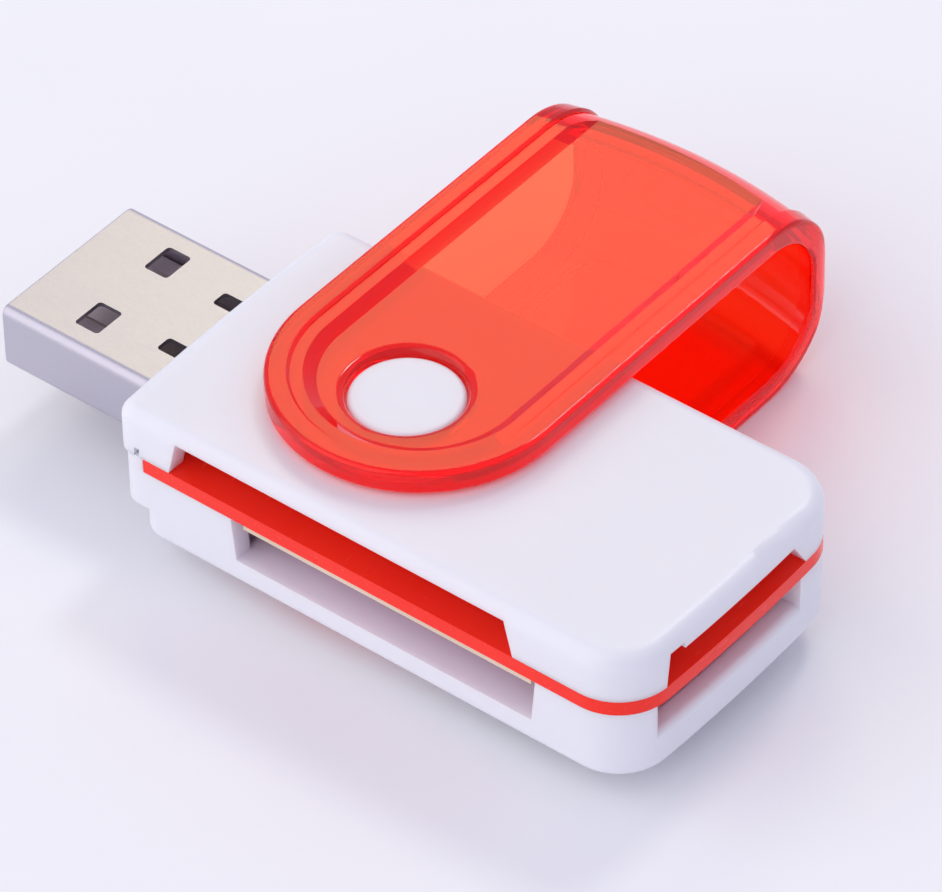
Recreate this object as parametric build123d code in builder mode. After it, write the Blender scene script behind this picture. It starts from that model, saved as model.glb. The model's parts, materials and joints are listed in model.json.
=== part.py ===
from math import atan2, degrees
import os

from build123d import *

# A memory card reader: a two-part casing with a plate between the halves, a plug at one end, card slots
# along one long side and at the other end, and a U-shaped cover that swivels on two bosses.
# Millimetres. The plug points along -X, the side slots face -Y, and the cover stands square to the casing,
# with its bend towards +Y. The lower arm of the cover lies on Z = 0. Every piece is drawn with the pivot on
# the Z axis, and is then moved so that the middle of the whole footprint stands on the origin.

os.makedirs("parts", exist_ok=True)

# Casing
body_width = 20.5
body_height = 9.4
pivot_to_plug_end = 13.8
pivot_to_slot_end = 24.2
end_bulge = 0.35
plug_bulge = 0.3
slot_corner = 3.6
plug_corner = 1.2
edge_round = 1.0
wall = 1.3
roof = 0.8
floor = 1.0
seam_height = 5.15
plate_thickness = 1.0
fit_gap = 0.05
collar_setback = 0.3
collar_depth = 2.0
skirt_setback = 1.7
skirt_height = 2.4
seam_notch_width = 0.4
seam_notch_height = 0.6
seam_notch_depth = 0.4

# Pivot
boss_radius = 3.5
boss_height = 0.65
boss_round = 0.35
pivot_clearance = 0.06

# Cover
cover_thickness = 1.6
arm_gap = 0.2
arm_half_width = 9.15
arm_end = 7.7
cover_reach = 29.95
bend_round = 5.6
bulge_radius = 36.0
bend_lead = 2.5
bend_half_angle = 30.0
tip_corner = 3.0
tip_margin = 0.5
border_width = 1.3
border_step = 0.25
border_bevel = 0.2
ledge_width = 0.75
slope_width = 0.8
panel_depth = 0.75
cover_edge_round = 0.3
rim_round = 0.6

# Plug
plug_width = 12.0
plug_height = 4.5
plug_reach = 12.2
plug_tail = 3.2
plug_sheet = 0.3
plug_edge_round = 0.6
plug_mouth_round = 0.12
plug_notch_gap = 0.35
plug_lift = 2.62
window_setback = 4.25
window_length = 1.8
window_width = 2.35
window_spacing = 6.3
catch_setback = 9.6
catch_length = 1.6
catch_width = 1.2
catch_spacing = 5.1
window_round = 0.25
tongue_setback = 0.4
tongue_height = 1.85
carrier_length = 1.8
strip_inner_spacing = 2.0
strip_outer_spacing = 7.0
strip_width = 1.2
strip_thickness = 0.22
strip_setback = 1.2
strip_tail = 0.7

# Circuit board
board_thickness = 0.8
board_edge_gap = 0.15
board_lip = 0.4
board_lip_gap = 0.6
board_bearing = 0.7
board_gap = 0.4

# Upper side slot, for a card 24 mm wide
wide_slot_centre = 3.1
wide_slot_length = 24.0
wide_slot_height = 2.45
wide_slot_flare = 0.6
# Lower side slot, for a card 21.5 mm wide
stick_slot_centre = 6.2
stick_slot_length = 22.2
stick_slot_height = 3.1
stick_slot_flare = 0.3
# Upper end slot, for a card 11 mm wide, with a taller corner for its thick edge
small_slot_centre = -0.2
small_slot_length = 10.2
small_slot_height = 1.9
small_slot_flare = 1.2
small_step_length = 1.3
small_step_flare = 0.3
small_step_height = 0.45
# Lower end slot, for a card 12.5 mm wide
thin_slot_centre = -1.0
thin_slot_length = 13.2
thin_slot_height = 2.2
thin_slot_sill = 0.5

# Locating pins of the top shell, and the posts that take them
pin_radius = 0.6
post_radius = 1.0
pin_depth = 1.4
pin_edge = 2.2
slot_pin_setback = 3.6

# Contact springs
spring_thickness = 0.15
spring_width = 0.7
spring_rise = 1.35
under_spring_rise = 1.0
spring_foot = 0.9
spring_run = 2.2
spring_tip = 0.5
spring_drop = 0.3
window_margin = 0.35
wide_pitch = 2.5
wide_count = 9
stick_pitch = 1.7
stick_count = 10
small_pitch = 1.1
small_count = 8
thin_pitch = 0.95
thin_count = 11
side_spring_gap = 1.4
end_spring_reach = 10.3
small_spring_shift = -0.6
thin_spring_shift = -0.6

# Parts on the board
chip_size = 3.5
chip_height = 0.85
terminal_count = 6
terminal_width = 0.25
terminal_length = 0.4
terminal_thickness = 0.05
crystal_length = 3.2
crystal_width = 2.5
crystal_base_height = 0.35
crystal_lid_height = 0.35
crystal_lid_margin = 0.2
regulator_length = 2.9
regulator_width = 1.3
regulator_height = 0.95
regulator_lift = 0.1
lead_reach = 0.5
lead_spacing = 1.9
lead_width = 0.4
lead_thickness = 0.15
passive_length = 1.6
passive_width = 0.8
capacitor_height = 0.8
resistor_height = 0.45
passive_end = 0.3
passive_pitch = 1.3
capacitor_count = 2
resistor_count = 2
led_length = 1.6
led_width = 0.8
led_height = 0.7
led_pocket_gap = 0.2
led_inset = 1.5
chip_inset = 2.3
crystal_inset = 1.7
chip_gap = 0.15
small_parts_setback = 1.55
regulator_shift = -3.0
solder_length = 0.5

# Which way a block or a pin runs from the point that places it
standing = (Align.CENTER, Align.CENTER, Align.MIN)
hanging = (Align.CENTER, Align.CENTER, Align.MAX)

# Heights
body_base = cover_thickness + arm_gap
body_top = body_base + body_height
plate_bottom = body_base + seam_height
plate_top = plate_bottom + plate_thickness
roof_bottom = body_top - roof
board_top = plate_bottom
board_bottom = board_top - board_thickness
cover_height = body_top + arm_gap + cover_thickness
plug_bottom = body_base + plug_lift
plug_top = plug_bottom + plug_height
stick_floor = plate_bottom - stick_slot_height

# Lengths
half_width = body_width / 2
inner_half = half_width - wall
plug_tip = -pivot_to_plug_end - plug_reach
plug_rear = -pivot_to_plug_end + plug_tail
collar_back = pivot_to_plug_end - collar_setback
collar_front = collar_back - collar_depth
skirt_back = pivot_to_plug_end - skirt_setback
board_back = plug_rear + board_gap
bearing_front = board_back + board_bearing
stick_slot_start = stick_slot_centre - stick_slot_length / 2
slot_pin_x = pivot_to_slot_end - slot_pin_setback
plug_pin_x = -collar_back + (collar_depth + plug_bulge / 2) / 2
pin_y = half_width - pin_edge
slot_pins = [(slot_pin_x, pin_y), (slot_pin_x, -pin_y)]
pin_places = slot_pins + [(plug_pin_x, pin_y), (plug_pin_x, -pin_y)]
hole_radius = boss_radius + pivot_clearance
end_centre = arm_half_width - arm_end
bend_axis_y = cover_reach - bulge_radius
bend_start = bulge_radius - bend_round - 2 * bend_lead
arm_far = bend_axis_y + bulge_radius - bend_round - bend_lead

footprint_x = (plug_tip + pivot_to_slot_end) / 2
footprint_y = (cover_reach - border_step - half_width) / 2


def save(part, name):
    """Writes one named piece, moved to its place over the middle of the footprint."""
    placed = part.moved(Location((-footprint_x, -footprint_y, 0)))
    placed.label = name
    export_step(placed, f"parts/{name}.step")


def body_plan(height, back, inset=0.0, bowed_back=False):
    """Plan of the casing at a height, from `back` behind the pivot to the bowed slot end."""
    half = half_width - inset
    front = pivot_to_slot_end - inset
    shoulder = front - end_bulge
    heel = back - plug_bulge if bowed_back else back
    with BuildSketch(Plane.XY.offset(height)) as plan:
        with BuildLine():
            ThreePointArc((shoulder, -half), (front, 0), (shoulder, half))
            Line((shoulder, half), (-heel, half))
            if bowed_back:
                ThreePointArc((-heel, half), (-back, 0), (-heel, -half))
            else:
                Line((-heel, half), (-heel, -half))
            Line((-heel, -half), (shoulder, -half))
        make_face()
        fillet(plan.vertices().group_by(Axis.X)[-1], radius=slot_corner - inset)
        if bowed_back:
            fillet(plan.vertices().group_by(Axis.X)[0], radius=plug_corner)
    return plan.sketch


def side_slot(centre, length, flare, low, high):
    """Mouth of a side slot, wider by the flare at its lower edge, drawn on the near side."""
    with BuildSketch(Plane.XZ.offset(half_width + fit_gap)) as mouth:
        with BuildLine():
            left = centre - length / 2
            right = centre + length / 2
            Polyline((left - flare, low), (right + flare, low), (right, high), (left, high), close=True)
        make_face()
    return mouth.sketch


def cover_plan(height, inset, far, far_round=0.0):
    """Plan of the cover at a height, round at the pivot and square or rounded at the far end."""
    half = arm_half_width - inset
    with BuildSketch(Plane.XY.offset(height)) as plan:
        with BuildLine():
            ThreePointArc((-half, end_centre), (0, end_centre - half), (half, end_centre))
            Polyline((half, end_centre), (half, far), (-half, far), (-half, end_centre))
        make_face()
        if far_round > 0:
            fillet(plan.vertices().group_by(Axis.Y)[-1], radius=far_round)
    return plan.sketch


smooth_cosine = 0.9
bend_direction = Vector(0, 1, 0).rotate(Axis.Z, -bend_half_angle)
bend_plane = Plane((0, bend_axis_y, 0), x_dir=bend_direction, z_dir=bend_direction.cross(Vector(0, 0, 1)))
bend_axis = Axis((0, bend_axis_y, 0), (0, 0, 1))


def bend_section(outer, inner):
    """Section of the cover's bend between two depths below its outer face."""
    with BuildSketch(bend_plane) as section:
        for depth, mode in ((outer, Mode.ADD), (inner, Mode.SUBTRACT)):
            crown = bulge_radius - depth
            high = cover_height - depth
            with BuildLine():
                turn = FilletPolyline(
                    (bend_start, depth), (crown, depth), (crown, high), (bend_start, high),
                    radius=bend_round - depth,
                )
                Line(turn @ 1, turn @ 0)
            make_face(mode=mode)
    return section.sketch


def cover_skin(depth, inset):
    """Outer layer of the cover, over both arms and the bend, kept in from the cover's edge by the inset."""
    with BuildPart() as skin:
        revolve(bend_section(0, depth), axis=bend_axis, revolution_arc=2 * bend_half_angle)
        extrude(cover_plan(0, inset, cover_reach + depth), amount=cover_height, mode=Mode.INTERSECT)
        extrude(cover_plan(0, inset, arm_far), amount=depth)
        extrude(cover_plan(cover_height - depth, inset, arm_far), amount=depth)
    return skin.part


def sharp_edges(solid):
    """Edges where two faces meet at an angle, without the seams inside a smooth run."""
    found = ShapeList()
    for edge in solid.edges():
        meeting = [face for face in solid.faces() if edge in face.edges()]
        normals = [face.normal_at(edge @ 0.5) for face in meeting]
        if len(normals) == 2 and abs(normals[0].dot(normals[1])) < smooth_cosine:
            found.append(edge)
    return found


# Swivel cover
step_inset = border_width + border_bevel
panel_inset = step_inset + ledge_width
slope_drop = panel_depth - border_step
slope_angle = degrees(atan2(slope_width, slope_drop))
step_reach = arm_half_width - step_inset + fit_gap
panel_far = cover_reach + tip_margin
with BuildPart() as swivel_cover:
    revolve(bend_section(0, cover_thickness), axis=bend_axis, revolution_arc=2 * bend_half_angle)
    outline = cover_plan(0, 0, cover_reach + tip_margin, tip_corner)
    extrude(outline, amount=cover_height, mode=Mode.INTERSECT)
    extrude(cover_plan(0, 0, arm_far), amount=cover_thickness)
    extrude(cover_plan(cover_height - cover_thickness, 0, arm_far), amount=cover_thickness)
    fillet(sharp_edges(swivel_cover.part), radius=cover_edge_round)
    add(cover_skin(border_step, step_inset), mode=Mode.SUBTRACT)
    step_edges = swivel_cover.edges().filter_by(Axis.Y).filter_by_position(Axis.X, -step_reach, step_reach)
    chamfer(step_edges.sort_by(Axis.Z)[-1], length=border_bevel)
    for level, inward in ((border_step, 1), (cover_height - border_step, -1)):
        recess = cover_plan(level, panel_inset, panel_far)
        extrude(recess, amount=slope_drop, dir=(0, 0, inward), taper=slope_angle, mode=Mode.SUBTRACT)
    with Locations((0, 0, cover_height / 2)):
        Cylinder(hole_radius, cover_height, mode=Mode.SUBTRACT)
    hole_edges = swivel_cover.edges(Select.LAST).filter_by(GeomType.CIRCLE).group_by(Axis.Z)
    fillet(hole_edges[0] + hole_edges[-1], radius=rim_round)
save(swivel_cover.part, "swivel_cover")

# Top shell
wide_slot_top = plate_top + wide_slot_height
small_left = small_slot_centre - small_slot_length / 2
small_right = small_slot_centre + small_slot_length / 2
small_top = plate_top + small_slot_height
with BuildPart() as top_shell:
    extrude(body_plan(plate_top, pivot_to_plug_end, bowed_back=True), amount=body_top - plate_top)
    fillet(top_shell.faces().sort_by(Axis.Z)[-1].edges(), radius=edge_round)
    hollow = body_plan(plate_top, pivot_to_plug_end - wall, wall)
    extrude(hollow, amount=roof_bottom - plate_top, mode=Mode.SUBTRACT)
    mouth = side_slot(wide_slot_centre, wide_slot_length, wide_slot_flare, plate_top, wide_slot_top)
    extrude(mouth, amount=-wall - 2 * fit_gap, mode=Mode.SUBTRACT)
    with BuildSketch(Plane.YZ.offset(pivot_to_slot_end + fit_gap)) as small_mouth:
        with BuildLine():
            Polyline(
                (small_left - small_step_length - small_step_flare, plate_top),
                (small_right + small_slot_flare, plate_top),
                (small_right, small_top),
                (small_left, small_top),
                (small_left - fit_gap, small_top + small_step_height),
                (small_left - small_step_length, small_top + small_step_height),
                close=True,
            )
        make_face()
    extrude(amount=-wall - end_bulge - 2 * fit_gap, mode=Mode.SUBTRACT)
    with Locations((plug_rear - plug_tail / 2, 0, plug_top + fit_gap)):
        Box(plug_tail + 2 * fit_gap, plug_width + 2 * fit_gap, plug_height,
            align=(Align.CENTER, Align.CENTER, Align.MAX), mode=Mode.SUBTRACT)
    with Locations((-collar_front - seam_notch_width, -half_width, plate_top)):
        Box(seam_notch_width, 2 * seam_notch_depth, 2 * seam_notch_height, mode=Mode.SUBTRACT)
    with Locations((0, 0, body_top)):
        Cylinder(boss_radius, boss_height, align=standing)
    fillet(top_shell.faces().sort_by(Axis.Z)[-1].edges(), radius=boss_round)
    with Locations(*[(x, y, roof_bottom) for x, y in pin_places]):
        Cylinder(pin_radius, roof_bottom - board_bottom + pin_depth, align=hanging)
save(top_shell.part, "top_shell")

# Bottom shell
socket_radius = pin_radius + fit_gap
with BuildPart() as bottom_shell:
    extrude(body_plan(body_base, skirt_back, bowed_back=True), amount=seam_height)
    upper_plan = body_plan(body_base + skirt_height, collar_back, bowed_back=True)
    extrude(upper_plan, amount=seam_height - skirt_height)
    fillet(bottom_shell.faces().sort_by(Axis.Z)[0].edges(), radius=edge_round)
    extrude(body_plan(plate_bottom, collar_back, bowed_back=True), amount=plate_thickness)
    with Locations((-collar_front, 0, plate_bottom)):
        Box(collar_front + pivot_to_slot_end, body_width, plate_thickness,
            align=(Align.MIN, Align.CENTER, Align.MIN), mode=Mode.SUBTRACT)
    extrude(body_plan(board_bottom, collar_front, wall), amount=board_thickness, mode=Mode.SUBTRACT)
    extrude(body_plan(stick_floor, -stick_slot_start, wall), amount=stick_slot_height, mode=Mode.SUBTRACT)
    with Locations((bearing_front, 0, body_base + floor)):
        Box(stick_slot_start - bearing_front, 2 * inner_half, board_bottom - body_base - floor,
            align=(Align.MIN, Align.CENTER, Align.MIN), mode=Mode.SUBTRACT)
    mouth = side_slot(stick_slot_centre, stick_slot_length, -stick_slot_flare, stick_floor, plate_bottom)
    extrude(mouth, amount=-wall - 2 * fit_gap, mode=Mode.SUBTRACT)
    with BuildSketch(Plane.YZ.offset(pivot_to_slot_end + fit_gap)) as thin_mouth:
        with Locations((thin_slot_centre, plate_bottom)):
            Rectangle(thin_slot_length, thin_slot_height, align=(Align.CENTER, Align.MAX))
    extrude(amount=-wall - end_bulge - 2 * fit_gap, mode=Mode.SUBTRACT)
    sill_height = plate_bottom - thin_slot_height
    sill_span = (sill_height - fit_gap, sill_height + fit_gap)
    sill_edges = bottom_shell.edges().filter_by_position(Axis.Z, *sill_span)
    fillet(sill_edges.sort_by(Axis.X)[-1], radius=thin_slot_sill)
    with Locations((-collar_back, 0, plug_bottom - fit_gap)):
        Box(bearing_front + collar_back, plug_width + 2 * fit_gap, plate_top - plug_bottom + 2 * fit_gap,
            align=(Align.MIN, Align.CENTER, Align.MIN), mode=Mode.SUBTRACT)
    with Locations(*[(x, y, stick_floor) for x, y in slot_pins]):
        Cylinder(post_radius, board_bottom - stick_floor, align=standing)
    with Locations(*[(x, y, plate_top) for x, y in pin_places]):
        socket_depth = plate_top - board_bottom + pin_depth + fit_gap
        Cylinder(socket_radius, socket_depth, align=hanging, mode=Mode.SUBTRACT)
    with Locations((0, 0, body_base)):
        Cylinder(boss_radius, boss_height, align=hanging)
    fillet(bottom_shell.faces().sort_by(Axis.Z)[0].edges(), radius=boss_round)
save(bottom_shell.part, "bottom_shell")

# Middle plate
plate_back = collar_front - fit_gap
wide_spring_y = inner_half - side_spring_gap
end_spring_x = pivot_to_slot_end - end_spring_reach
spring_length = spring_foot + spring_run + spring_tip
small_spring_y = small_slot_centre + small_spring_shift
led_x = board_back + led_length / 2 + led_pocket_gap
led_y = inner_half - led_inset
wide_window_length = (wide_count - 1) * wide_pitch + spring_width + 2 * window_margin
small_window_length = (small_count - 1) * small_pitch + spring_width + 2 * window_margin
window_width_across = spring_length + 2 * window_margin
with BuildPart() as middle_plate:
    extrude(body_plan(plate_bottom, plate_back), amount=plate_thickness)
    with BuildSketch(Plane.XY.offset(plate_bottom)) as plate_openings:
        with Locations((-plate_back, 0)):
            notch_width = plug_width + 2 * plug_notch_gap
            Rectangle(board_back + plate_back, notch_width, align=(Align.MIN, Align.CENTER))
        with Locations((wide_slot_centre, wide_spring_y + window_margin)):
            Rectangle(wide_window_length, window_width_across, align=(Align.CENTER, Align.MAX))
        with Locations((end_spring_x - window_margin, small_spring_y)):
            Rectangle(window_width_across, small_window_length, align=(Align.MIN, Align.CENTER))
        with Locations((led_x, led_y)):
            Rectangle(led_length + 2 * led_pocket_gap, led_width + 2 * led_pocket_gap)
        with Locations(*slot_pins):
            Circle(socket_radius)
    extrude(amount=plate_thickness, mode=Mode.SUBTRACT)
save(middle_plate.part, "middle_plate")

# Circuit board
with BuildPart() as circuit_board:
    extrude(body_plan(board_bottom, -board_back, wall + board_edge_gap), amount=board_thickness)
    with BuildSketch(Plane.XY.offset(board_bottom)) as lip:
        with Locations((stick_slot_centre, -half_width + board_lip)):
            lip_length = stick_slot_length - 2 * board_lip_gap
            Rectangle(lip_length, wall + board_edge_gap, align=(Align.CENTER, Align.MIN))
    extrude(amount=board_thickness)
    with BuildSketch(Plane.XY.offset(board_bottom)) as board_holes:
        with Locations(*slot_pins):
            Circle(socket_radius)
    extrude(amount=board_thickness, mode=Mode.SUBTRACT)
save(circuit_board.part, "circuit_board")

# Plug sleeve, a folded steel tube with two windows and two catch holes in each broad face
plug_middle = plug_bottom + plug_height / 2
inner_plug_width = plug_width - 2 * plug_sheet
inner_plug_height = plug_height - 2 * plug_sheet
with BuildPart() as plug_shell:
    with BuildSketch(Plane.YZ.offset(plug_tip)) as sleeve:
        with Locations((0, plug_middle)):
            RectangleRounded(plug_width, plug_height, plug_edge_round)
            inner_round = plug_edge_round - plug_sheet
            RectangleRounded(inner_plug_width, inner_plug_height, inner_round, mode=Mode.SUBTRACT)
    extrude(amount=plug_rear - plug_tip)
    fillet(plug_shell.faces().sort_by(Axis.X)[0].outer_wire().edges(), radius=plug_mouth_round)
    with BuildSketch(Plane.XY.offset(plug_bottom)) as sleeve_holes:
        for setback, length, width, spacing in (
            (window_setback, window_length, window_width, window_spacing),
            (catch_setback, catch_length, catch_width, catch_spacing),
        ):
            hole_x = plug_tip + setback + length / 2
            with Locations((hole_x, spacing / 2), (hole_x, -spacing / 2)):
                RectangleRounded(length, width, window_round)
    extrude(amount=plug_height, mode=Mode.SUBTRACT)
save(plug_shell.part, "plug_shell")

# Contact strips of the plug
tongue_bottom = plug_bottom + plug_sheet
tongue_top = tongue_bottom + tongue_height
tongue_rear = plug_rear - strip_thickness - fit_gap
strip_front = plug_tip + strip_setback
strip_end = board_back + strip_tail
strip_spacings = (strip_inner_spacing, strip_outer_spacing)
strip_places = [side * spacing / 2 for spacing in strip_spacings for side in (-1, 1)]
with BuildPart() as plug_contacts:
    for y in strip_places:
        with BuildSketch(Plane.XZ.offset(-y)) as strip:
            with BuildLine():
                Polyline(
                    (strip_front, tongue_top),
                    (tongue_rear, tongue_top),
                    (tongue_rear, board_bottom - strip_thickness),
                    (strip_end, board_bottom - strip_thickness),
                    (strip_end, board_bottom),
                    (tongue_rear + strip_thickness, board_bottom),
                    (tongue_rear + strip_thickness, tongue_top + strip_thickness),
                    (strip_front, tongue_top + strip_thickness),
                    close=True,
                )
            make_face()
        extrude(amount=strip_width / 2, both=True)
save(plug_contacts.part, "plug_contacts")

# Solder at the tails of the strips
with BuildPart() as plug_solder_joints:
    for y in strip_places:
        with BuildSketch(Plane.XZ.offset(-y)) as joint_profile:
            with BuildLine():
                Polyline(
                    (strip_end, board_bottom),
                    (strip_end, board_bottom - strip_thickness),
                    (strip_end + solder_length, board_bottom),
                    close=True,
                )
            make_face()
        extrude(amount=strip_width / 2, both=True)
save(plug_solder_joints.part, "plug_solder_joints")

# Insulator of the plug: a tongue under the strips, and a carrier that fills the sleeve at the back
tongue_width = inner_plug_width - 2 * fit_gap
tongue_length = tongue_rear - plug_tip - tongue_setback
from_rear = (Align.MAX, Align.CENTER, Align.MIN)
with BuildPart() as plug_tongue:
    with Locations((tongue_rear, 0, tongue_bottom)):
        Box(tongue_length, tongue_width, tongue_height, align=from_rear)
        Box(carrier_length, tongue_width, inner_plug_height - fit_gap, align=from_rear)
    fillet(plug_tongue.edges().filter_by(Axis.X), radius=plug_edge_round - plug_sheet)
    with Locations(*[(tongue_rear, y, tongue_top) for y in strip_places]):
        Box(carrier_length, strip_width, strip_thickness, align=from_rear, mode=Mode.SUBTRACT)
save(plug_tongue.part, "plug_tongue")


def spring_row(places, run, up, rise):
    """Row of bent contact springs whose feet stand at the given places and lean along `run`."""
    with BuildPart() as row:
        for place in places:
            with BuildSketch(Plane(place, x_dir=run, z_dir=run.cross(up))) as spring:
                peak = rise - spring_thickness
                with BuildLine():
                    Polyline(
                        (0, 0),
                        (spring_foot, 0),
                        (spring_foot + spring_run, peak),
                        (spring_length, peak - spring_drop),
                        (spring_length, peak - spring_drop + spring_thickness),
                        (spring_foot + spring_run, rise),
                        (spring_foot, spring_thickness),
                        (0, spring_thickness),
                        close=True,
                    )
                make_face()
            extrude(amount=spring_width / 2, both=True)
    return row.part


def row_along(centre, pitch, count):
    """Evenly spaced positions about a centre."""
    return [centre + (i - (count - 1) / 2) * pitch for i in range(count)]


# Contact springs: towards the mouth of each slot from the end that the card reaches last
up = Vector(0, 0, 1)
down = Vector(0, 0, -1)
to_side = Vector(0, -1, 0)
to_end = Vector(1, 0, 0)
thin_spring_y = thin_slot_centre + thin_spring_shift
wide_row = row_along(wide_slot_centre, wide_pitch, wide_count)
stick_row = row_along(stick_slot_centre, stick_pitch, stick_count)
wide_places = [(x, wide_spring_y, board_top) for x in wide_row]
stick_places = [(x, wide_spring_y, board_bottom) for x in stick_row]
small_row = row_along(small_spring_y, small_pitch, small_count)
thin_row = row_along(thin_spring_y, thin_pitch, thin_count)
small_places = [(end_spring_x, y, board_top) for y in small_row]
thin_places = [(end_spring_x, y, board_bottom) for y in thin_row]
upper_side_contacts = spring_row(wide_places, to_side, up, spring_rise)
lower_side_contacts = spring_row(stick_places, to_side, down, under_spring_rise)
upper_end_contacts = spring_row(small_places, to_end, up, spring_rise)
lower_end_contacts = spring_row(thin_places, to_end, down, under_spring_rise)
for row, row_name in (
    (upper_side_contacts, "upper_side_contacts"),
    (lower_side_contacts, "lower_side_contacts"),
    (upper_end_contacts, "upper_end_contacts"),
    (lower_end_contacts, "lower_end_contacts"),
):
    save(row, row_name)

# Controller chip under the board, with its edge terminals
chip_x = strip_end + solder_length + chip_gap + terminal_length / 2 + chip_size / 2
chip_y = inner_half - chip_inset
terminal_pitch = chip_size / (terminal_count + 1)
chip_seat = board_bottom - terminal_thickness
with BuildPart() as controller_chip:
    with Locations((chip_x, chip_y, chip_seat)):
        Box(chip_size, chip_size, chip_height, align=hanging)
save(controller_chip.part, "controller_chip")

with BuildPart() as chip_terminals:
    with Locations((chip_x, chip_y, board_bottom)):
        with PolarLocations(chip_size / 2, 4):
            with Locations(*[(0, y, 0) for y in row_along(0, terminal_pitch, terminal_count)]):
                Box(terminal_length, terminal_width, terminal_thickness, align=hanging)
save(chip_terminals.part, "chip_terminals")

# Clock crystal
crystal_place = (chip_x, -inner_half + crystal_inset, board_bottom)
with BuildPart() as crystal_base:
    with Locations(crystal_place):
        Box(crystal_width, crystal_length, crystal_base_height, align=hanging)
save(crystal_base.part, "crystal_base")

lid_width = crystal_width - 2 * crystal_lid_margin
lid_length = crystal_length - 2 * crystal_lid_margin
with BuildPart() as crystal_lid:
    with Locations(crystal_place):
        with Locations((0, 0, -crystal_base_height)):
            Box(lid_width, lid_length, crystal_lid_height, align=hanging)
save(crystal_lid.part, "crystal_lid")

# Voltage regulator, with two leads behind and one in front
small_parts_x = stick_slot_start - small_parts_setback
with BuildPart() as regulator:
    with Locations((small_parts_x, regulator_shift, board_bottom - regulator_lift)):
        Box(regulator_width, regulator_length, regulator_height, align=hanging)
save(regulator.part, "regulator")

with BuildPart() as regulator_leads:
    with Locations((small_parts_x, regulator_shift, board_bottom)):
        with Locations((regulator_width / 2, 0, 0)):
            Box(lead_reach, lead_width, lead_thickness, align=(Align.MIN, Align.CENTER, Align.MAX))
        with Locations(*[(-regulator_width / 2, side * lead_spacing / 2, 0) for side in (-1, 1)]):
            Box(lead_reach, lead_width, lead_thickness, align=(Align.MAX, Align.CENTER, Align.MAX))
save(regulator_leads.part, "regulator_leads")


def chip_bodies(places, height, name):
    """Middle blocks and metal end caps of a row of small chip parts under the board."""
    middle = passive_length - 2 * passive_end
    with BuildPart() as bodies:
        with Locations(*places):
            Box(middle, passive_width, height, align=hanging)
    with BuildPart() as ends:
        with Locations(*places):
            with Locations((middle / 2, 0, 0)):
                Box(passive_end, passive_width, height, align=(Align.MIN, Align.CENTER, Align.MAX))
            with Locations((-middle / 2, 0, 0)):
                Box(passive_end, passive_width, height, align=(Align.MAX, Align.CENTER, Align.MAX))
    for part, label in ((bodies.part, f"{name}s"), (ends.part, f"{name}_ends")):
        save(part, label)


# Capacitors and resistors beside the regulator
first_passive = regulator_shift + regulator_length / 2 + passive_width
passive_count = capacitor_count + resistor_count
passive_ys = [first_passive + i * passive_pitch for i in range(passive_count)]
passive_places = [(small_parts_x, y, board_bottom) for y in passive_ys]
chip_bodies(passive_places[:capacitor_count], capacitor_height, "capacitor")
chip_bodies(passive_places[capacitor_count:], resistor_height, "resistor")

# Indicator lamp on top of the board, in its pocket in the plate
with BuildPart() as status_led:
    with Locations((led_x, led_y, board_top)):
        Box(led_length, led_width, led_height, align=standing)
save(status_led.part, "status_led")
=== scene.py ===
# %% [markdown]
# A small card reader: a white two-part casing with a red plate between its halves, a steel plug at one
# end, card slots along one side and at the other end, and a clear red cover that swivels on two bosses.
# The solids were built and packed elsewhere. This lesson loads them as a fixed frame, gives every
# surface a finish made of nodes, and builds the few pieces that Blender can shape better than the
# solids do.

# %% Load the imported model
import json
import math

import bpy
from mathutils import Matrix, Vector


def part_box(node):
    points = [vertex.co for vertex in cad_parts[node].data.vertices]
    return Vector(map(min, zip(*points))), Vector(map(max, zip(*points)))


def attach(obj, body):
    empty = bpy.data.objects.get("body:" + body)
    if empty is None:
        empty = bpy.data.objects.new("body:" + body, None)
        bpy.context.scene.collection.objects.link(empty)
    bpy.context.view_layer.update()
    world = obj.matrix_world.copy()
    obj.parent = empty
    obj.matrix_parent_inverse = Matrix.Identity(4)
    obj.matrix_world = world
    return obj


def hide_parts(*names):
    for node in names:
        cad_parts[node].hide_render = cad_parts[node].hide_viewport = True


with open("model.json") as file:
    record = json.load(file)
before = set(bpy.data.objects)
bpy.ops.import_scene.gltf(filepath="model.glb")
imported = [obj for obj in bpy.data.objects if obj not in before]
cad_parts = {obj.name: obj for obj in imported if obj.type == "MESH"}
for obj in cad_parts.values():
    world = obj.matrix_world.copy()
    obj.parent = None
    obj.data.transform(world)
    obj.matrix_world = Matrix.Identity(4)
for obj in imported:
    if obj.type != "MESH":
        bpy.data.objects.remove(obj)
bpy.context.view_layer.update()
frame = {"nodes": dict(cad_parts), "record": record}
nodes = frame["nodes"]
millimetre = 0.001

# %% [markdown]
# The camera stands where the photographer's did. Its angles came from the straight edges of the plug
# and the casing. A long lens far away keeps those edges nearly parallel. The aim point could be an
# empty with a Track To constraint, but plain vectors are easier to read back and leave nothing behind
# in the scene.

# %% Camera
view_azimuth = math.radians(39.147)
view_elevation = math.radians(42.046)
view_roll = math.radians(-1.131)
view_distance = 410.91 * millimetre
view_offset_right = -1.812 * millimetre
view_offset_up = 0.350 * millimetre
image_width = 942
focal_pixels = 6902.4
sensor_width = 36.0
nearest_seen = 0.01

back = Vector((
    math.sin(view_azimuth) * math.cos(view_elevation),
    -math.cos(view_azimuth) * math.cos(view_elevation),
    math.sin(view_elevation),
))
level_right = Vector((math.cos(view_azimuth), math.sin(view_azimuth), 0.0))
level_up = back.cross(level_right)
right = math.cos(view_roll) * level_right + math.sin(view_roll) * level_up
up = math.cos(view_roll) * level_up - math.sin(view_roll) * level_right
stand_point = view_offset_right * right + view_offset_up * up + view_distance * back
turn = Matrix((right, up, back)).transposed().to_4x4()

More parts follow.
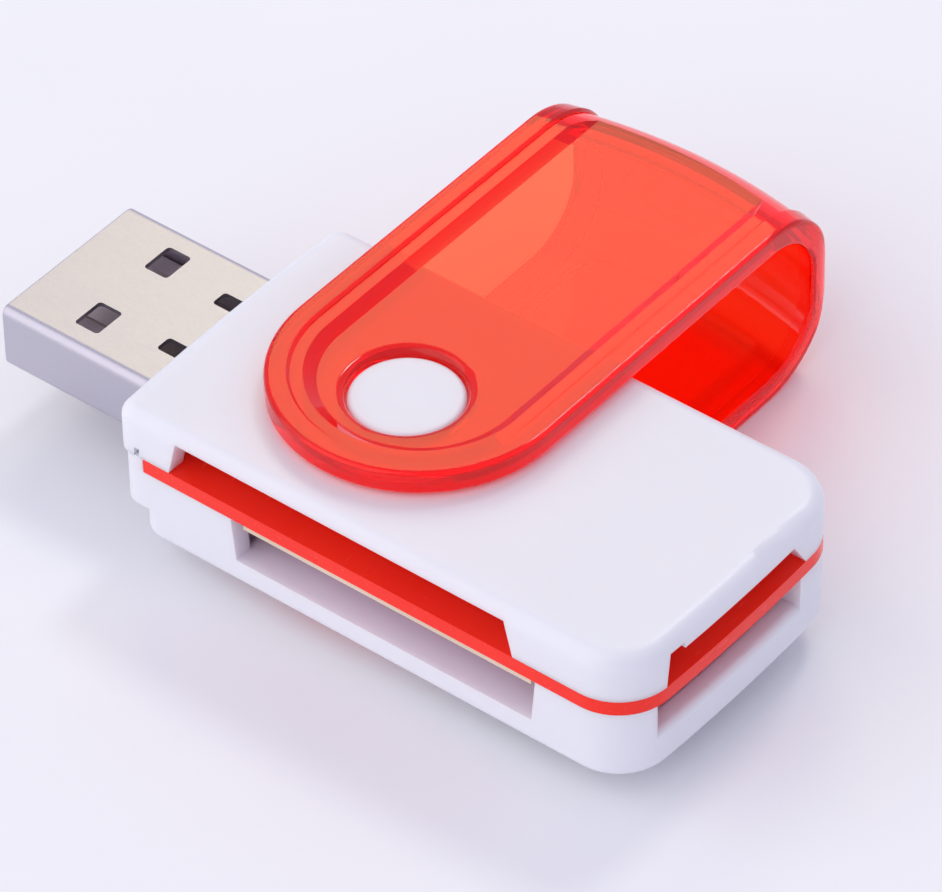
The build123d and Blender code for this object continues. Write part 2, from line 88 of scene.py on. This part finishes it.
camera_data = bpy.data.cameras.new("photo_camera")
camera_data.sensor_width = sensor_width
camera_data.lens = focal_pixels * sensor_width / image_width
camera_data.clip_start = nearest_seen
camera = bpy.data.objects.new("photo_camera", camera_data)
camera.matrix_world = Matrix.Translation(stand_point) @ turn
scene = bpy.context.scene
scene.collection.objects.link(camera)
scene.camera = camera
print("lens", round(camera_data.lens, 1), "mm")

# %% [markdown]
# The light is that of a white tent. The tent fills in evenly from all sides. A wide key lamp in front
# and to the left makes the long side of the casing as bright as its top and leaves the slot end in
# shade. A small warm lamp behind the reader is mirrored in the flat top of the cover and gives it its
# pale veil. A smaller one, higher up, misses the flats and draws thin glints on the rounded edges. It
# also throws the soft shadow towards the viewer. The colours are written as they should look, so all of
# it together lights a level sheet to just under white.

# %% Light
scene.view_settings.view_transform = "Standard"

world = bpy.data.worlds.new("tent")
world.use_nodes = True
tent = world.node_tree.nodes["Background"]
tent_colour = (0.81, 0.81, 1.0, 1.0)
tent_strength = 0.70
tent.inputs["Color"].default_value = tent_colour
tent.inputs["Strength"].default_value = tent_strength
scene.world = world


def soft_lamp(name, direction, distance, width, power, colour):
    """A square soft lamp that faces the origin from a direction."""
    data = bpy.data.lights.new(name, "AREA")
    data.shape = "SQUARE"
    data.size = width
    data.energy = power
    data.color = colour
    lamp = bpy.data.objects.new(name, data)
    lamp.location = direction.normalized() * distance
    lamp.rotation_euler = direction.to_track_quat("Z", "Y").to_euler()
    scene.collection.objects.link(lamp)
    return lamp


key_lamp = soft_lamp(
    "key_lamp", Vector((-0.42, -0.76, 0.55)), distance=1.0, width=1.6, power=6.9, colour=(1.0, 0.97, 0.88))
veil_lamp = soft_lamp(
    "veil_lamp", Vector((-0.47, 0.58, 0.67)), distance=0.6, width=0.2, power=0.24, colour=(1.0, 0.90, 0.40))
glint_lamp = soft_lamp(
    "glint_lamp", Vector((-0.1, 0.58, 0.81)), distance=0.7, width=0.13, power=0.64, colour=(1, 0.98, 0.95))
print("lamps", [lamp.name for lamp in (key_lamp, veil_lamp, glint_lamp)])

# %% [markdown]
# Moulded plastic is never quite even. It has a fine grain from the tool, broad faint clouds where it
# cooled unevenly, and rubbed places. Noises at three scales give these, and as every plastic on the
# reader needs them, they are one node group that each material places with its own sizes. Rolled sheet
# has streaks along the strip and a fine speckle instead, so the metals share a second group.

# %% Shared node groups


def new_group(name, inputs, outputs):
    """An empty shader node group with named float sockets; inputs carry their default values."""
    group = bpy.data.node_groups.new(name, "ShaderNodeTree")
    for socket_name, default in inputs.items():
        socket = group.interface.new_socket(socket_name, in_out="INPUT", socket_type="NodeSocketFloat")
        socket.default_value = default
    for socket_name in outputs:
        group.interface.new_socket(socket_name, in_out="OUTPUT", socket_type="NodeSocketFloat")
    start = group.nodes.new("NodeGroupInput")
    end = group.nodes.new("NodeGroupOutput")
    return group, start, end


def noise_at(tree, coordinates, scale, detail=2.0):
    """A noise texture on the given coordinates, with its scale linked or set."""
    noise = tree.nodes.new("ShaderNodeTexNoise")
    noise.inputs["Detail"].default_value = detail
    tree.links.new(coordinates, noise.inputs["Vector"])
    if isinstance(scale, float):
        noise.inputs["Scale"].default_value = scale
    else:
        tree.links.new(scale, noise.inputs["Scale"])
    return noise.outputs["Fac"]


def remap(tree, value, low, high, to_low, to_high):
    """Maps a value from one range to another, clamped."""
    node = tree.nodes.new("ShaderNodeMapRange")
    for socket, number in zip(("From Min", "From Max", "To Min", "To Max"), (low, high, to_low, to_high)):
        node.inputs[socket].default_value = number
    tree.links.new(value, node.inputs["Value"])
    return node.outputs["Result"]


def object_coordinates(tree, stretch=(1.0, 1.0, 1.0)):
    """Object coordinates, squeezed along chosen axes so that a pattern runs along them."""
    place = tree.nodes.new("ShaderNodeTexCoord")
    mapping = tree.nodes.new("ShaderNodeMapping")
    mapping.inputs["Scale"].default_value = stretch
    tree.links.new(place.outputs["Object"], mapping.inputs["Vector"])
    return mapping.outputs["Vector"]


moulded, moulded_in, moulded_out = new_group(
    "moulded_skin", {"Grain Scale": 9000.0, "Cloud Scale": 140.0}, ("Grain", "Cloud", "Rub"))
place = object_coordinates(moulded)
grain = noise_at(moulded, place, moulded_in.outputs["Grain Scale"], 3.0)
cloud = noise_at(moulded, place, moulded_in.outputs["Cloud Scale"], 2.0)
rub_scale = 2500.0
rub_from = 0.58
rub_full = 0.75
along_y = (1.0, 0.15, 1.0)
rub = noise_at(moulded, object_coordinates(moulded, along_y), rub_scale, 4.0)
moulded.links.new(grain, moulded_out.inputs["Grain"])
moulded.links.new(cloud, moulded_out.inputs["Cloud"])
moulded.links.new(remap(moulded, rub, rub_from, rub_full, 0.0, 1.0), moulded_out.inputs["Rub"])

rolled, rolled_in, rolled_out = new_group(
    "rolled_grain", {"Streak Scale": 16000.0, "Speckle Scale": 7000.0}, ("Streak", "Speckle"))
along_x = (0.05, 1.0, 1.0)
streak = noise_at(rolled, object_coordinates(rolled, along_x), rolled_in.outputs["Streak Scale"], 3.0)
speckle = noise_at(rolled, object_coordinates(rolled), rolled_in.outputs["Speckle Scale"], 4.0)
rolled.links.new(streak, rolled_out.inputs["Streak"])
rolled.links.new(speckle, rolled_out.inputs["Speckle"])
print("groups", [group.name for group in bpy.data.node_groups])

# %% [markdown]
# Each finish is one Principled shader. For a plastic, the group's clouds tint the colour, its rubbed
# streaks change the roughness, and its grain feeds a very shallow bump. A metal takes its tint from the
# speckle and its roughness from the streaks. Two short functions hold that wiring, so that a finish is
# only a name and a few numbers.

# %% How a finish is wired


def new_material(name):
    """A material with its node tree and its Principled shader."""
    material = bpy.data.materials.new(name)
    material.use_nodes = True
    tree = material.node_tree
    return material, tree, tree.nodes["Principled BSDF"]


def place_group(tree, group, **values):
    """Puts a node group into a material and sets its inputs by name."""
    node = tree.nodes.new("ShaderNodeGroup")
    node.node_tree = group
    for name, value in values.items():
        node.inputs[name.replace("_", " ")].default_value = value
    return node


def tint(tree, value, colour_low, colour_high):
    """A colour that runs from one tone to another with a value."""
    ramp = tree.nodes.new("ShaderNodeValToRGB")
    ramp.color_ramp.elements[0].color = (*colour_low, 1.0)
    ramp.color_ramp.elements[1].color = (*colour_high, 1.0)
    tree.links.new(value, ramp.inputs["Fac"])
    return ramp.outputs["Color"]


def shallow_bump(tree, height, distance, strength=0.5):
    """A bump node of a given depth in metres."""
    bump = tree.nodes.new("ShaderNodeBump")
    bump.inputs["Distance"].default_value = distance
    bump.inputs["Strength"].default_value = strength
    tree.links.new(height, bump.inputs["Height"])
    return bump.outputs["Normal"]


def plastic(name, colour_low, colour_high, rough_low, rough_high, grain_depth, **scales):
    """A moulded plastic: clouded colour, rubbed roughness and a fine grain."""
    material, tree, shader = new_material(name)
    skin = place_group(tree, moulded, **scales)
    colour = tint(tree, skin.outputs["Cloud"], colour_low, colour_high)
    tree.links.new(colour, shader.inputs["Base Color"])
    roughness = remap(tree, skin.outputs["Rub"], 0.0, 1.0, rough_low, rough_high)
    tree.links.new(roughness, shader.inputs["Roughness"])
    tree.links.new(shallow_bump(tree, skin.outputs["Grain"], grain_depth), shader.inputs["Normal"])
    return material


streak_low = 0.3
streak_high = 0.7


def metal(name, colour_low, colour_high, rough_low, rough_high, grain_depth):
    """A rolled metal: speckled colour, and roughness in streaks along the strip."""
    material, tree, shader = new_material(name)
    sheet = place_group(tree, rolled)
    colour = tint(tree, sheet.outputs["Speckle"], colour_low, colour_high)
    tree.links.new(colour, shader.inputs["Base Color"])
    roughness = remap(tree, sheet.outputs["Streak"], streak_low, streak_high, rough_low, rough_high)
    tree.links.new(roughness, shader.inputs["Roughness"])
    tree.links.new(shallow_bump(tree, sheet.outputs["Speckle"], grain_depth), shader.inputs["Normal"])
    shader.inputs["Metallic"].default_value = 1.0
    return material


print("a plastic can set", [socket.name for socket in moulded_in.outputs if socket.name])

# %% [markdown]
# The table is one pale sheet, far larger than the view, so no horizon shows. It only has to carry the
# shadow and the red glow under the cover. It lies a hair lower than the cover's foot, so that the two
# faces don't fall together. It is a smooth painted board, so the moulded group gives it faint clouds
# too. It isn't part of the reader.

# %% Table
table_half = 1.5
table_mesh = bpy.data.meshes.new("table")
table_level = -0.02 * millimetre
corner_signs = ((-1, -1), (1, -1), (1, 1), (-1, 1))
corners = [(x * table_half, y * table_half, table_level) for x, y in corner_signs]
table_mesh.from_pydata(corners, [], [(0, 1, 2, 3)])
table = bpy.data.objects.new("table", table_mesh)
scene.collection.objects.link(table)
pale_table = plastic(
    "pale_table", (0.93, 0.94, 0.96), (0.95, 0.96, 0.98), 0.6, 0.7, 2e-6, Cloud_Scale=60.0)
table_mesh.materials.append(pale_table)
print("table", table_half * 2, "m wide")

# %% [markdown]
# The shells are satin white. Light soaks a little way into such plastic before it comes back, which
# softens the shading at the edges and brightens the mouths of the slots, so the shader gets subsurface
# scatter about a millimetre deep.

# %% White shells
white = plastic("white_moulded", (0.82, 0.825, 0.88), (0.86, 0.865, 0.92), 0.34, 0.42, 3e-6)
white_shader = white.node_tree.nodes["Principled BSDF"]
white_shader.inputs["Subsurface Weight"].default_value = 0.6
white_shader.inputs["Subsurface Radius"].default_value = (1.0, 0.9, 0.9)
scatter_depth = 1.0 * millimetre
white_shader.inputs["Subsurface Scale"].default_value = scatter_depth
print("white finish", white.name)

# %% [markdown]
# The cover is moulded in clear red. Clear plastic could be a tinted glass shader, but then thick and
# thin places would have the same red. A plain glass with a volume that soaks up green and blue gives
# the deep edges and the orange thin walls of the real one by itself. The surface also gives off a faint
# red glow, which is painted light: it lifts the dark edges and the casing seen through the cover.

# %% Clear red cover
clear_red, tree, shader = new_material("clear_red")
skin = place_group(tree, moulded, Grain_Scale=400.0, Cloud_Scale=90.0)
polished = 0.02
rubbed = 0.08
ripple_depth = 2e-6
tree.links.new(remap(tree, skin.outputs["Rub"], 0.0, 1.0, polished, rubbed), shader.inputs["Roughness"])
tree.links.new(shallow_bump(tree, skin.outputs["Grain"], ripple_depth, 0.4), shader.inputs["Normal"])
shader.inputs["Base Color"].default_value = (1.0, 0.98, 0.97, 1.0)
shader.inputs["Transmission Weight"].default_value = 1.0
shader.inputs["IOR"].default_value = 1.46
# painted light: a faint red glow from the cover's surface, though it is no lamp
shader.inputs["Emission Color"].default_value = (1.0, 0.008, 0.0, 1.0)
shader.inputs["Emission Strength"].default_value = 0.09
clear_red.cycles.emission_sampling = "NONE"
absorb = tree.nodes.new("ShaderNodeVolumeAbsorption")
absorb.inputs["Color"].default_value = (0.994, 0.30, 0.0, 1.0)
absorb.inputs["Density"].default_value = 3400.0
tree.links.new(absorb.outputs["Volume"], tree.nodes["Material Output"].inputs["Volume"])
print("clear red, absorbing", absorb.inputs["Density"].default_value, "per metre")

# %% [markdown]
# The plate between the shells is the same red, but its faces are frosted and the board lies under it,
# so it reads as a solid red. A faint red glow is painted over its surface: painted light that stands in
# for light coming through the plastic and makes it look lit from within at its edge.

# %% Red plate
plate_red = plastic("plate_red", (0.88, 0.020, 0.008), (0.94, 0.030, 0.012), 0.22, 0.34, 2e-6)
plate_shader = plate_red.node_tree.nodes["Principled BSDF"]
plate_shader.inputs["Specular IOR Level"].default_value = 0.3
# painted light: the plate gives off a faint red glow, though it is no lamp
plate_shader.inputs["Emission Color"].default_value = (1.0, 0.006, 0.0, 1.0)
plate_shader.inputs["Emission Strength"].default_value = 0.10
plate_red.cycles.emission_sampling = "NONE"
print("plate finish", plate_red.name)

# %% [markdown]
# The board shows its bare cream laminate only at its cut edge. Its two faces have a pale pink lacquer,
# with the faint squares of the copper under it, and tint the white floor of the slot below. One
# material can do both: the object-space normal says which way a surface faces, and that mask mixes the
# two colours.

# %% Circuit board
laminate = plastic("bare_laminate", (0.72, 0.58, 0.42), (0.84, 0.72, 0.56), 0.5, 0.65, 5e-6)
tree = laminate.node_tree
shader = tree.nodes["Principled BSDF"]
edge_colour = shader.inputs["Base Color"].links[0].from_socket
copper = tree.nodes.new("ShaderNodeTexBrick")
copper.inputs["Scale"].default_value = 900.0
copper.inputs["Color1"].default_value = (0.95, 0.46, 0.66, 1.0)
copper.inputs["Color2"].default_value = (0.93, 0.42, 0.62, 1.0)
copper.inputs["Mortar"].default_value = (0.84, 0.30, 0.48, 1.0)
tree.links.new(object_coordinates(tree), copper.inputs["Vector"])
facing = tree.nodes.new("ShaderNodeSeparateXYZ")
place = tree.nodes.new("ShaderNodeTexCoord")
tree.links.new(place.outputs["Normal"], facing.inputs["Vector"])
steepness = tree.nodes.new("ShaderNodeMath")
steepness.operation = "ABSOLUTE"
tree.links.new(facing.outputs["Z"], steepness.inputs[0])
lacquer = tree.nodes.new("ShaderNodeMix")
lacquer.data_type = "RGBA"
face_from = 0.4
face_full = 0.6
face_mask = remap(tree, steepness.outputs["Value"], face_from, face_full, 0.0, 1.0)
tree.links.new(face_mask, lacquer.inputs["Factor"])
tree.links.new(edge_colour, lacquer.inputs["A"])
tree.links.new(copper.outputs["Color"], lacquer.inputs["B"])
tree.links.new(lacquer.outputs["Result"], shader.inputs["Base Color"])
print("board finish", laminate.name)

# %% [markdown]
# The other finishes need nothing special. The plug is dull nickel over rolled sheet, its strips are the
# same but darker, the springs of the slots have a thin gold plating, and the joints are tinned.

# %% Metals and small parts
steel = metal("dull_steel", (0.53, 0.505, 0.58), (0.61, 0.585, 0.66), 0.36, 0.41, 2e-6)
nickel = metal("strip_nickel", (0.56, 0.50, 0.46), (0.66, 0.60, 0.56), 0.28, 0.40, 1e-6)
gold = metal("spring_gold", (0.80, 0.58, 0.26), (0.86, 0.66, 0.32), 0.20, 0.34, 1e-6)
tin = metal("tinned_joint", (0.62, 0.62, 0.64), (0.70, 0.70, 0.72), 0.30, 0.45, 3e-6)
tongue = plastic("tongue_satin", (0.74, 0.62, 0.64), (0.80, 0.68, 0.70), 0.45, 0.60, 3e-6)
black = plastic("black_moulded", (0.03, 0.03, 0.033), (0.045, 0.045, 0.05), 0.40, 0.55, 4e-6)
ceramic = plastic("fired_ceramic", (0.70, 0.67, 0.62), (0.78, 0.75, 0.70), 0.50, 0.60, 4e-6)
brown_ceramic = plastic("brown_ceramic", (0.50, 0.36, 0.24), (0.60, 0.45, 0.32), 0.45, 0.60, 4e-6)
resin = plastic("clear_resin", (0.80, 0.80, 0.62), (0.88, 0.88, 0.74), 0.20, 0.30, 2e-6)

finish_of_slot = {
    "red_translucent_plastic": clear_red,
    "white_plastic": white,
    "red_plastic": plate_red,
    "board_laminate": laminate,
    "plug_steel": steel,
    "contact_metal": gold,
    "solder": tin,
    "tongue_plastic": tongue,
    "black_plastic": black,
    "ceramic": ceramic,
    "capacitor_ceramic": brown_ceramic,
    "lamp_resin": resin,
}
finish_of_node = {"plug_contacts": nickel}
for part in frame["record"]["subparts"]:
    finish = finish_of_node.get(part["node"], finish_of_slot[part["material_slot"]])
    for material_slot in nodes[part["node"]].material_slots:
        material_slot.material = finish
print("finishes", len(finish_of_slot) + len(finish_of_node))

# %% [markdown]
# Each slot has a row of contact springs, stamped from thin strip and bent: a flat foot on the board, a
# long rise towards the mouth and a short dip at the tip. The solids have them with knife-sharp bends.
# Every row is the same spring repeated, so one Geometry Nodes tree makes all four. It draws the path of
# a spring through four points, rounds its bends, sweeps the strip along it and puts a copy at each step
# of the row.

# %% Tree for a row of springs
row_sizes = ("Pitch", "Reach", "Rise", "Foot", "Tip", "Drop", "Width", "Thickness", "Bend Radius")
spring_tree = bpy.data.node_groups.new("spring_row", "GeometryNodeTree")
spring_tree.is_modifier = True
spring_tree.interface.new_socket("Geometry", in_out="INPUT", socket_type="NodeSocketGeometry")
spring_tree.interface.new_socket("Geometry", in_out="OUTPUT", socket_type="NodeSocketGeometry")
row_sockets = {}
row_sockets["Count"] = spring_tree.interface.new_socket(
    "Count", in_out="INPUT", socket_type="NodeSocketInt")
for size_name in row_sizes:
    row_sockets[size_name] = spring_tree.interface.new_socket(
        size_name, in_out="INPUT", socket_type="NodeSocketFloat")
row_sockets["Finish"] = spring_tree.interface.new_socket(
    "Finish", in_out="INPUT", socket_type="NodeSocketMaterial")
row_in = spring_tree.nodes.new("NodeGroupInput").outputs
row_out = spring_tree.nodes.new("NodeGroupOutput")


def tree_math(operation, first, second):
    """A math node in the spring tree; each operand is a socket or a number."""
    node = spring_tree.nodes.new("ShaderNodeMath")
    node.operation = operation
    for socket, operand in zip(node.inputs, (first, second)):
        if isinstance(operand, float):
            socket.default_value = operand
        else:
            spring_tree.links.new(operand, socket)
    return node.outputs["Value"]


def tree_point(**sockets):
    """A point in the spring tree, with the named coordinates linked and the others at zero."""
    node = spring_tree.nodes.new("ShaderNodeCombineXYZ")
    for axis, socket in sockets.items():
        spring_tree.links.new(socket, node.inputs[axis])
    return node.outputs["Vector"]


def tree_step(kind, mode=None, **links):
    """A geometry node in one of its modes, with its named inputs linked."""
    node = spring_tree.nodes.new(kind)
    if mode:
        node.mode = mode
    for name, socket in links.items():
        spring_tree.links.new(socket, node.inputs[name.replace("_", " ")])
    return node


low = tree_math("MULTIPLY", row_in["Thickness"], 0.5)
high = tree_math("SUBTRACT", row_in["Rise"], low)
peak_at = tree_math("SUBTRACT", row_in["Reach"], row_in["Tip"])
path = tree_step(
    "GeometryNodeCurvePrimitiveQuadrilateral",
    mode="POINTS",
    Point_1=tree_point(Z=low),
    Point_2=tree_point(X=row_in["Foot"], Z=low),
    Point_3=tree_point(X=peak_at, Z=high),
    Point_4=tree_point(X=row_in["Reach"], Z=tree_math("SUBTRACT", high, row_in["Drop"])),
)
opened = tree_step("GeometryNodeSetSplineCyclic", Geometry=path.outputs["Curve"])
bent = tree_step(
    "GeometryNodeFilletCurve", mode="POLY", Curve=opened.outputs["Geometry"], Radius=row_in["Bend Radius"])
bend_points = 5
bent.inputs["Count"].default_value = bend_points
levelled = tree_step("GeometryNodeSetCurveNormal", mode="Z_UP", Curve=bent.outputs["Curve"])
strip = tree_step(
    "GeometryNodeCurvePrimitiveQuadrilateral", Width=row_in["Width"], Height=row_in["Thickness"])
swept = tree_step(
    "GeometryNodeCurveToMesh", Curve=levelled.outputs["Curve"], Profile_Curve=strip.outputs["Curve"])
swept.inputs["Fill Caps"].default_value = True
half_row = tree_math("MULTIPLY", tree_math("SUBTRACT", row_in["Count"], 1.0), -0.5)
row_line = tree_step(
    "GeometryNodeMeshLine",
    Count=row_in["Count"],
    Start_Location=tree_point(Y=tree_math("MULTIPLY", half_row, row_in["Pitch"])),
    Offset=tree_point(Y=row_in["Pitch"]),
)
copies = tree_step(
    "GeometryNodeInstanceOnPoints", Points=row_line.outputs["Mesh"], Instance=swept.outputs["Mesh"])
realized = tree_step("GeometryNodeRealizeInstances", Geometry=copies.outputs["Instances"])
finished = tree_step(
    "GeometryNodeSetMaterial", Geometry=realized.outputs["Geometry"], Material=row_in["Finish"])
spring_tree.links.new(finished.outputs["Geometry"], row_out.inputs["Geometry"])
print("spring tree", len(spring_tree.nodes), "nodes")

# %% [markdown]
# Each row takes the place of its solid: the solid's box gives its middle, its reach and its rise, and
# the count and the width of the springs give the pitch. The tree runs on an empty host, its result
# becomes a plain mesh, and a matrix built from the spring's run and its upward side turns that mesh
# into place.

# %% Rows of springs
spring_width = 0.7 * millimetre
spring_sizes = {
    "Foot": 0.9 * millimetre,
    "Tip": 0.5 * millimetre,
    "Drop": 0.3 * millimetre,
    "Width": spring_width,
    "Thickness": 0.15 * millimetre,
    "Bend Radius": 0.4 * millimetre,
}
to_side = Vector((0, -1, 0))
to_end = Vector((1, 0, 0))
upward = Vector((0, 0, 1))


def spring_row(node_name, count, run, rise_side):
    """Makes a row of springs in the place of a node, leaning along `run` on one side of the board."""
    low_corner, high_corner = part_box(node_name)
    middle = (low_corner + high_corner) / 2
    extent = high_corner - low_corner
    across = rise_side.cross(run)
    reach = abs(extent.dot(run))
    rise = abs(extent.dot(rise_side))
    host = bpy.data.objects.new(f"{node_name}_host", bpy.data.meshes.new(f"{node_name}_host"))
    scene.collection.objects.link(host)
    modifier = host.modifiers.new("spring_row", "NODES")
    modifier.node_group = spring_tree
    pitch = (abs(extent.dot(across)) - spring_width) / (count - 1)
    sizes = {"Count": count, "Pitch": pitch, "Reach": reach, "Rise": rise, "Finish": gold, **spring_sizes}
    for size_name, size in sizes.items():
        modifier[row_sockets[size_name].identifier] = size
    depsgraph = bpy.context.evaluated_depsgraph_get()
    mesh = bpy.data.meshes.new_from_object(host.evaluated_get(depsgraph))
    host.modifiers.remove(modifier)
    bpy.data.objects.remove(host)
    foot = middle - run * reach / 2 - rise_side * rise / 2
    mesh.transform(Matrix.Translation(foot) @ Matrix((run, across, rise_side)).transposed().to_4x4())
    springs = bpy.data.objects.new(f"{node_name}_springs", mesh)
    scene.collection.objects.link(springs)
    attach(springs, "casing")
    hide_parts(node_name)
    return springs


for springs in (
    spring_row("upper_side_contacts", 9, to_side, upward),
    spring_row("lower_side_contacts", 10, to_side, -upward),
    spring_row("upper_end_contacts", 8, to_end, upward),
    spring_row("lower_end_contacts", 11, to_end, -upward),
):
    print(springs.name, len(springs.data.polygons), "faces")
